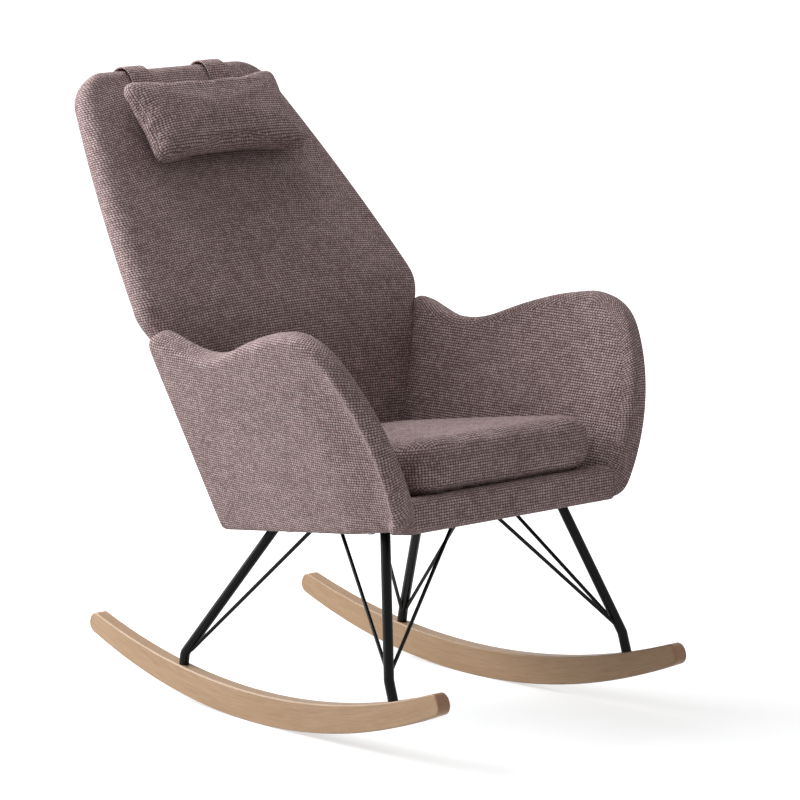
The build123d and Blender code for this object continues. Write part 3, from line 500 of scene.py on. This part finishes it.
# Back: a bent plywood panel in foam and the same cloth, rolled over its sides and top.
# It stands between the arms on two brackets screwed to the deck, and its shoulders lie over the arms' ends.
BACK_FOOT = np.array([147.0, 285.0])
BACK_BEND = np.array([213.0, 600.0])
BACK_TOP = np.array([531.0, 974.0])
BACK_HALF = 26.0
BACK_HALF_FOOT = 178.0
BACK_HALF_WAIST = 258.0
BACK_HALF_SHOULDER = 284.0
BACK_HALF_TOP = 187.0
BACK_SIDE_BOW = 8.0
BACK_BEND_RADIUS = 250.0
BACK_WAIST_DROP = 24.0
BACK_SHOULDER_RISE = 40.0
BACK_CORNER = 56.0
BACK_ROLL = 25.0
BACK_EDGE = 24.0
BACK_CROWN = 5.0
BACK_CROWN_FADE = 160.0
BACK_LOW = 16.0
lower_rise = (BACK_BEND - BACK_FOOT) / np.linalg.norm(BACK_BEND - BACK_FOOT)
back_rise = (BACK_TOP - BACK_BEND) / np.linalg.norm(BACK_TOP - BACK_BEND)
half_turn = np.arccos(lower_rise @ back_rise) / 2
bend_run = BACK_BEND_RADIUS * np.tan(half_turn)
lower_run = np.linalg.norm(BACK_BEND - BACK_FOOT) - bend_run
arc_run = 2 * half_turn * BACK_BEND_RADIUS
back_run = lower_run + arc_run + np.linalg.norm(BACK_TOP - BACK_BEND) - bend_run
waist = lower_run + arc_run / 2 - BACK_WAIST_DROP
shoulder = lower_run + arc_run / 2 + BACK_SHOULDER_RISE


def back_line(s):
    """The back's middle line in the side view, at distances up it: a run, an arc and a run.
    Gives the places and the directions towards the rear."""
    turned = np.clip((s - lower_run) / BACK_BEND_RADIUS, 0, 2 * half_turn)[:, None]
    rearward = np.array([lower_rise[1], -lower_rise[0]])
    before = np.minimum(s, lower_run)[:, None]
    after = np.maximum(s - lower_run - arc_run, 0)[:, None]
    rise = lower_rise * np.cos(turned) + rearward * np.sin(turned)
    bent = lower_rise * np.sin(turned) + rearward * (1 - np.cos(turned))
    places = BACK_FOOT + lower_rise * before + BACK_BEND_RADIUS * bent + rise * after
    return places, np.stack([rise[:, 1], -rise[:, 0]], 1)


def back_half_width(s):
    """Half the back's width: a straight flare, a quarter sine out to the shoulder, then a bowed taper
    that ends in a quarter circle at the top corner."""
    flare = BACK_HALF_FOOT + (BACK_HALF_WAIST - BACK_HALF_FOOT) * np.minimum(s / waist, 1)
    climb = np.clip((s - waist) / (shoulder - waist), 0, 1)
    share = np.clip((s - shoulder) / (back_run - shoulder), 0, 1)
    step = (BACK_HALF_SHOULDER - BACK_HALF_WAIST) * np.sin(climb * np.pi / 2)
    taper = (BACK_HALF_SHOULDER - BACK_HALF_TOP) * share - BACK_SIDE_BOW * 4 * share * (1 - share)
    into_corner = np.clip(s - (back_run - BACK_CORNER), 0, BACK_CORNER)
    return flare + step - taper - (BACK_CORNER - np.sqrt(BACK_CORNER**2 - into_corner**2))


def back_half_depth(s):
    """Half the back's thickness, which ends in a quarter circle at the top edge."""
    into_roll = np.clip(s - (back_run - BACK_ROLL), 0, BACK_ROLL)
    return BACK_HALF - (BACK_ROLL - np.sqrt(BACK_ROLL**2 - into_roll**2))


def back_crown(s, x):
    """How far the padding swells at a distance up and to the side: a parabola that fades out at the top."""
    parabola = np.clip(1 - (x / back_half_width(s)) ** 2, 0, 1)
    return BACK_CROWN * parabola * np.clip((back_run - s) / BACK_CROWN_FADE, 0, 1)


def round_section(face_steps=59, side_steps=3, edge_steps=13):
    """A rounded rectangle's ring, from the middle of its rear: each point's place on the flat core's
    corners or runs, and its direction out of the core."""
    ring = []
    for quarter, steps in enumerate((face_steps, side_steps, face_steps, side_steps)):
        normal = np.array([np.sin(quarter * np.pi / 2), np.cos(quarter * np.pi / 2)])
        tangent = np.array([normal[1], -normal[0]])
        share = np.linspace(-1, 1, steps + 2)[1:-1, None]
        turn = np.linspace(0, np.pi / 2, edge_steps)[:, None]
        core = np.vstack([normal + tangent * share, np.repeat((normal + tangent)[None], edge_steps, 0)])
        out = np.vstack([np.repeat(normal[None], steps, 0), normal * np.cos(turn) + tangent * np.sin(turn)])
        ring.append(np.hstack([core, out]))
    return np.roll(np.concatenate(ring), -(face_steps // 2), axis=0)


roll_turns = np.radians(np.linspace(0, 88, 16))
back_s = np.r_[
    np.linspace(BACK_LOW, back_run - BACK_CORNER, 130, endpoint=False),
    np.linspace(back_run - BACK_CORNER, back_run - BACK_ROLL, 12, endpoint=False),
    back_run - BACK_ROLL * (1 - np.sin(roll_turns)),
]
section = round_section()
widths = back_half_width(back_s)[:, None]
depths = back_half_depth(back_s)[:, None]
edge = np.minimum(BACK_EDGE, 0.95 * depths)
side_x = section[:, 0] * (widths - edge) + section[:, 2] * edge
deep = section[:, 1] * (depths - edge) + section[:, 3] * edge
deep = deep + section[:, 3] * back_crown(back_s[:, None], side_x)
line, rear = back_line(back_s)
side_view = line[:, None] + rear[:, None] * deep[..., None]
rows = np.concatenate([side_x[..., None], side_view + [MIDDLE_Y, 0]], 2) * MM
upholster(ring_piece("back_cover", rows, swept_bands(rows), fabric), "chair", "back_pad")

# Seat cushion: a loose boxed cushion of foam in the same cloth, crowned, with large round front corners.
# It lies on the seat pad and the front rail, between the arms, and lifts out.
CUSHION_FRONT = (-343.0, 203.0)
CUSHION_REAR = (117.0, 152.0)
CUSHION_LOW = 54.6
CUSHION_HEIGHT = 82.0
CUSHION_CROWN = 11.0
CUSHION_ROLL = 28.0
CUSHION_ROUNDS = [54.0, 32.0, 32.0, 54.0]
CUSHION_SHRINK = 3.0
CUSHION_SQUARE = 2.6
CUSHION_SOFT = 8.0
CUSHION_VOXEL = 5.0
CUSHION_SWELL = 6.0
CLOTH_PRESSURE = 4.0
BROAD_FACING = 0.64
FOLD_SHARE = 0.58


def swell_cloth(piece, voxel, pressure, cap):
    """Remesh a closed piece evenly and blow it up as cloth, with a cap on how far a point moves."""
    even = piece.modifiers.new("even", "REMESH")
    even.mode = "VOXEL"
    even.voxel_size = voxel
    graph = bpy.context.evaluated_depsgraph_get()
    mesh = bpy.data.meshes.new_from_object(piece.evaluated_get(graph))
    piece.modifiers.clear()
    piece.data = mesh
    start = np.empty(len(mesh.vertices) * 3)
    mesh.vertices.foreach_get("co", start)
    cloth = piece.modifiers.new("cloth", "CLOTH")
    cloth.settings.quality = 6
    cloth.settings.use_pressure = True
    cloth.settings.uniform_pressure_force = pressure
    cloth.settings.effector_weights.gravity = 0.0
    for step in range(1, 21):
        bpy.context.scene.frame_set(step)
    graph = bpy.context.evaluated_depsgraph_get()
    blown = bpy.data.meshes.new_from_object(piece.evaluated_get(graph))
    end = np.empty(len(blown.vertices) * 3)
    blown.vertices.foreach_get("co", end)
    piece.modifiers.clear()
    moved = (end - start).reshape(-1, 3)
    far = np.linalg.norm(moved, axis=1, keepdims=True)
    moved *= np.minimum(1, cap / np.maximum(far, 1e-9))
    mesh.vertices.foreach_set("co", start + moved.reshape(-1))
    bpy.data.meshes.remove(blown)
    bpy.context.scene.frame_set(1)


def lay_cloth(piece, centre, axes, outline, fold, material):
    """Flat cloth places on a swollen piece: a face near one of the broad sides takes its place across and
    along, any other its distance round the outline and its height, shifted so that rows go on over a fold."""
    mesh = piece.data
    counts = np.empty(len(mesh.polygons), int)
    mesh.polygons.foreach_get("loop_total", counts)
    normals = np.empty(len(mesh.polygons) * 3)
    mesh.polygons.foreach_get("normal", normals)
    corners = np.empty(len(mesh.loops), int)
    mesh.loops.foreach_get("vertex_index", corners)
    points = np.empty(len(mesh.vertices) * 3)
    mesh.vertices.foreach_get("co", points)
    local = ((points.reshape(-1, 3) - centre) @ axes.T)[corners]
    angles = np.arctan2(outline[:, 0], -outline[:, 1])
    outline, angles = outline[angles.argsort()], np.sort(angles)
    run = np.r_[0, np.cumsum(np.linalg.norm(np.diff(outline, axis=0), axis=1))] * MM
    run -= np.interp(0, angles, run)
    around = np.interp(np.arctan2(local[:, 0], -local[:, 1]), angles, run)
    broad = np.repeat(np.abs(normals.reshape(-1, 3) @ axes[2]) > BROAD_FACING, counts)
    first = np.where(broad, local[:, 0], around)
    second = np.where(broad, local[:, 1], local[:, 2] + fold)
    layer = mesh.uv_layers.new(name="cloth")
    layer.data.foreach_set("uv", np.stack([first, second], 1).reshape(-1))
    mesh.materials.clear()
    mesh.materials.append(material)
    mesh.shade_smooth()


cushion_corners = [
    (CUSHION_FRONT[1], CUSHION_FRONT[0]), (CUSHION_REAR[1], CUSHION_REAR[0]),
    (-CUSHION_REAR[1], CUSHION_REAR[0]), (-CUSHION_FRONT[1], CUSHION_FRONT[0]),
]
cushion_outline = soften(resample(rounded_polygon(cushion_corners, CUSHION_ROUNDS), 360), CUSHION_SOFT)
cushion_half = CUSHION_HEIGHT / 2 - CUSHION_SHRINK
rows, bands = padded_slab(
    cushion_outline, cushion_half, CUSHION_ROLL, (CUSHION_CROWN, 0), CUSHION_SQUARE, 20, 16)
cushion_middle = np.array([0, 0, CUSHION_LOW + CUSHION_HEIGHT / 2])
cushion = ring_piece("seat_cushion_cover", seat_place(rows + cushion_middle), bands, fabric)
swell_cloth(cushion, CUSHION_VOXEL * MM, CLOTH_PRESSURE, CUSHION_SWELL * MM)
seat_axes = (seat_place(np.eye(3)) - seat_place(np.zeros(3))) / MM
along_middle = np.array([0, (CUSHION_FRONT[0] + CUSHION_REAR[0]) / 2, 0])
cushion_fold = (CUSHION_FRONT[0] - along_middle[1] - cushion_half + FOLD_SHARE * CUSHION_ROLL) * MM
centred = cushion_outline - along_middle[:2]
lay_cloth(cushion, seat_place(cushion_middle + along_middle), seat_axes, centred, cushion_fold, fabric)
upholster(cushion, "seat_cushion", "seat_cushion")

# Pillow straps: two flat bands of the same cloth, sewn to the pillow and laid over the back's top edge.
# They stand off a little where they cross the edge, and end behind in sewn patches that grip the back.
STRAP_X = 80.0
STRAP_WIDTH = 40.0
STRAP_THICKNESS = 3.0
STRAP_LENGTH = 190.0
STRAP_GAP = 0.6
STRAP_SLACK = 6.0
STRAP_SLACK_PLACE = 24.0
STRAP_SLACK_REACH = 26.0
STRAP_RISE = 2.0
PATCH_LENGTH = 60.0
PATCH_THICKNESS = 2.0


def band_piece(name, path, outs, x, thickness):
    """A flat band on a path in the side view: a thin rounded section carried along it, on its outer side."""
    half = STRAP_WIDTH / 2
    corners = [(-half, 0), (half, 0), (half, thickness), (-half, thickness)]
    section = rounded_polygon(corners, thickness * 0.45, 5)
    lifted = path[:, None] + outs[:, None] * section[None, :, 1, None]
    across = np.broadcast_to(x + section[:, 0], lifted.shape[:2])[..., None]
    rows = np.concatenate([across, lifted + [MIDDLE_Y, 0]], 2) * MM
    piece = ring_piece(name, rows, swept_bands(rows), fabric)
    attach(piece, "chair")
    return piece


strap_turns = np.radians(np.linspace(0, 85, 14))
up_s = np.r_[
    np.linspace(back_run - STRAP_LENGTH, back_run - BACK_ROLL, 40, endpoint=False),
    back_run - BACK_ROLL * (1 - np.sin(strap_turns)),
]
line, rear = back_line(up_s)
lift = (back_half_depth(up_s) + back_crown(up_s, STRAP_X) + STRAP_GAP)[:, None]
slack = STRAP_SLACK * np.exp(-((back_run - up_s - STRAP_SLACK_PLACE) / STRAP_SLACK_REACH) ** 2)[:, None]
over_top = back_rise * STRAP_RISE * np.exp(-((back_run - up_s) / STRAP_SLACK_REACH) ** 2)[:, None]
front_path = line - rear * (lift + slack) + over_top
rear_path = line + rear * lift + over_top
strap_path = np.concatenate([front_path, rear_path[::-1]])
tangent = np.gradient(strap_path, axis=0)
tangent /= np.linalg.norm(tangent, axis=1, keepdims=True)
strap_out = np.stack([-tangent[:, 1], tangent[:, 0]], 1)
patch_up = np.linspace(0, PATCH_LENGTH, 16)[:, None]
patch_path = strap_path[-1] + back_rise * patch_up + strap_out[-1] * STRAP_THICKNESS
patch_out = np.broadcast_to(strap_out[-1], patch_path.shape)
for side, sign in SIDES.items():
    strap = band_piece(f"strap_band_{side}", strap_path, strap_out, sign * STRAP_X, STRAP_THICKNESS)
    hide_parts(f"pillow_strap_{side}")
    patch = band_piece(f"strap_patch_{side}", patch_path, patch_out, sign * STRAP_X, PATCH_THICKNESS)
    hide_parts("strap_patches")

# Head pillow: a small stuffed pillow of the same cloth, whose sides pull in between its corners.
# It hangs on the two straps against the back, a little below its top.
PILLOW_HALF_WIDTH = 158.0
PILLOW_HALF_LENGTH = 80.0
PILLOW_HALF = 30.0
PILLOW_BORDER_HALF = 22.0
PILLOW_CROWN = 7.0
PILLOW_BELOW_TOP = 141.0
PILLOW_ROLL = 34.0
PILLOW_ROUND = 18.0
PILLOW_DRAW_IN = np.array([3.0, 5.0])
PILLOW_SQUARE = 2.1
PILLOW_SOFT = 5.0
PILLOW_VOXEL = 4.0
PILLOW_SWELL = 8.0
pillow_corners = [
    (PILLOW_HALF_WIDTH, -PILLOW_HALF_LENGTH), (PILLOW_HALF_WIDTH, PILLOW_HALF_LENGTH),
    (-PILLOW_HALF_WIDTH, PILLOW_HALF_LENGTH), (-PILLOW_HALF_WIDTH, -PILLOW_HALF_LENGTH),
]
pillow_outline = soften(resample(rounded_polygon(pillow_corners, PILLOW_ROUND), 300), PILLOW_SOFT)
share = pillow_outline / [PILLOW_HALF_WIDTH, PILLOW_HALF_LENGTH]
pillow_outline = pillow_outline - share * PILLOW_DRAW_IN * (1 - np.clip(share[:, ::-1] ** 2, 0, 1))
rows, bands = padded_slab(
    pillow_outline, PILLOW_BORDER_HALF, PILLOW_ROLL, (PILLOW_CROWN, PILLOW_CROWN), PILLOW_SQUARE, 16, 16)
slope_up = np.array([0, *back_rise])
slope_front = np.array([0, -back_rise[1], back_rise[0]])
pillow_lift = BACK_HALF + BACK_CROWN + STRAP_THICKNESS + STRAP_GAP + PILLOW_HALF
pillow_middle = np.array([0, BACK_TOP[0] + MIDDLE_Y, BACK_TOP[1]])
pillow_middle = pillow_middle - slope_up * PILLOW_BELOW_TOP + slope_front * pillow_lift
pillow_axes = np.array([[1, 0, 0], slope_up, slope_front])
pillow = ring_piece("head_pillow_cover", (pillow_middle + rows @ pillow_axes) * MM, bands, fabric)
swell_cloth(pillow, PILLOW_VOXEL * MM, CLOTH_PRESSURE, PILLOW_SWELL * MM)
pillow_fold = (-PILLOW_HALF_LENGTH - PILLOW_BORDER_HALF + FOLD_SHARE * PILLOW_ROLL) * MM
lay_cloth(pillow, pillow_middle * MM, pillow_axes, pillow_outline, pillow_fold, fabric)
upholster(pillow, "head_pillow", "head_pillow")

# Floor, studio light and camera: a plain white floor, one large soft lamp behind at the left, one overhead.
# The floor and the surround are white to the camera and in reflections, and the floor keeps the shadow.
FLOOR_REACH = 30.0
SHADOW_REACH = (0.9, 2.6)
SHADOW_LIFT = (0.62, 1.02)
SURROUND_LIGHT = 0.36
LAMP_COLOUR = (0.95, 1.0, 1.0)
LAMP_AIM = (0, 0, 0.45)
LAMPS = {
    "key": ((-1.95, 2.8, 2.0), 1.8, 150.0),
    "top": ((-0.4, 1.8, 3.6), 2.2, 70.0),
}
CAMERA_RIGHT = (0.7561, -0.6544, -0.0101)
CAMERA_UP = (0.117, 0.12, 0.9859)
CAMERA_BACK = (-0.6439, -0.7466, 0.1673)
CAMERA_PLACE = np.array([-4569.0, MIDDLE_Y - 5345.6, 1676.1])
CAMERA_LENS = 202.62
CAMERA_SHIFT = (0.0077, 0.0018)
bpy.context.scene.view_settings.view_transform = "Standard"
floor_mesh = bpy.data.meshes.new("floor")
floor_corners = np.array([(-1, -1, 0), (1, -1, 0), (1, 1, 0), (-1, 1, 0)]) * FLOOR_REACH
floor_mesh.from_pydata(floor_corners.tolist(), [], [(0, 1, 2, 3)])
floor = bpy.data.objects.new("floor", floor_mesh)
bpy.context.scene.collection.objects.link(floor)

# Matt white paint, which glows white to the camera away from the chair.
floor_paint, tree, shader = new_material("floor_paint")
from_camera = add_node(tree, "LightPath", {}, "Is Camera Ray")
from_gloss = add_node(tree, "LightPath", {}, "Is Glossy Ray")
seen = add_node(tree, "Math", {0: from_camera, 1: from_gloss}, operation="MAXIMUM")
spot = add_node(tree, "TexCoord", {}, "Object")
from_chair = add_node(tree, "VectorMath", {0: spot}, "Value", operation="LENGTH")
glow = add_node(tree, "MapRange", {
    "Value": from_chair, "From Min": SHADOW_REACH[0], "From Max": SHADOW_REACH[1],
    "To Min": SHADOW_LIFT[0], "To Max": SHADOW_LIFT[1],
}, interpolation_type="SMOOTHSTEP")
glow = add_node(tree, "Math", {0: seen, 1: glow}, operation="MULTIPLY")
fill_inputs(tree, shader, {"Base Color": (0.72, 0.72, 0.72, 1), "Roughness": 1.0, "Specular IOR Level": 0.0,
                           "Emission Color": (1, 1, 1, 1), "Emission Strength": glow})
floor_mesh.materials.append(floor_paint)

world = bpy.data.worlds.new("studio")
bpy.context.scene.world = world
world.use_nodes = True
tree = world.node_tree
from_camera = add_node(tree, "LightPath", {}, "Is Camera Ray")
from_gloss = add_node(tree, "LightPath", {}, "Is Glossy Ray")
seen = add_node(tree, "Math", {0: from_camera, 1: from_gloss}, operation="MAXIMUM")
strength = add_node(tree, "MapRange", {"Value": seen, "To Min": SURROUND_LIGHT, "To Max": 1.0})
fill_inputs(tree, tree.nodes["Background"], {"Color": (1, 1, 1, 1), "Strength": strength})

for name, (place, size, power) in LAMPS.items():
    lamp = bpy.data.lights.new(name, "AREA")
    lamp.size = size
    lamp.energy = power
    lamp.color = LAMP_COLOUR
    lamp_object = bpy.data.objects.new(name, lamp)
    lamp_object.location = place
    aim = Vector(LAMP_AIM) - Vector(place)
    lamp_object.rotation_euler = aim.to_track_quat("-Z", "Y").to_euler()
    bpy.context.scene.collection.objects.link(lamp_object)

camera_data = bpy.data.cameras.new("camera")
camera_data.sensor_width = 36.0
camera_data.lens = CAMERA_LENS
camera_data.shift_x, camera_data.shift_y = CAMERA_SHIFT
camera = bpy.data.objects.new("camera", camera_data)
turn = Matrix((CAMERA_RIGHT, CAMERA_UP, CAMERA_BACK)).transposed().to_4x4()
camera.matrix_world = Matrix.Translation(CAMERA_PLACE * MM) @ turn
bpy.context.scene.collection.objects.link(camera)
bpy.context.scene.camera = camera
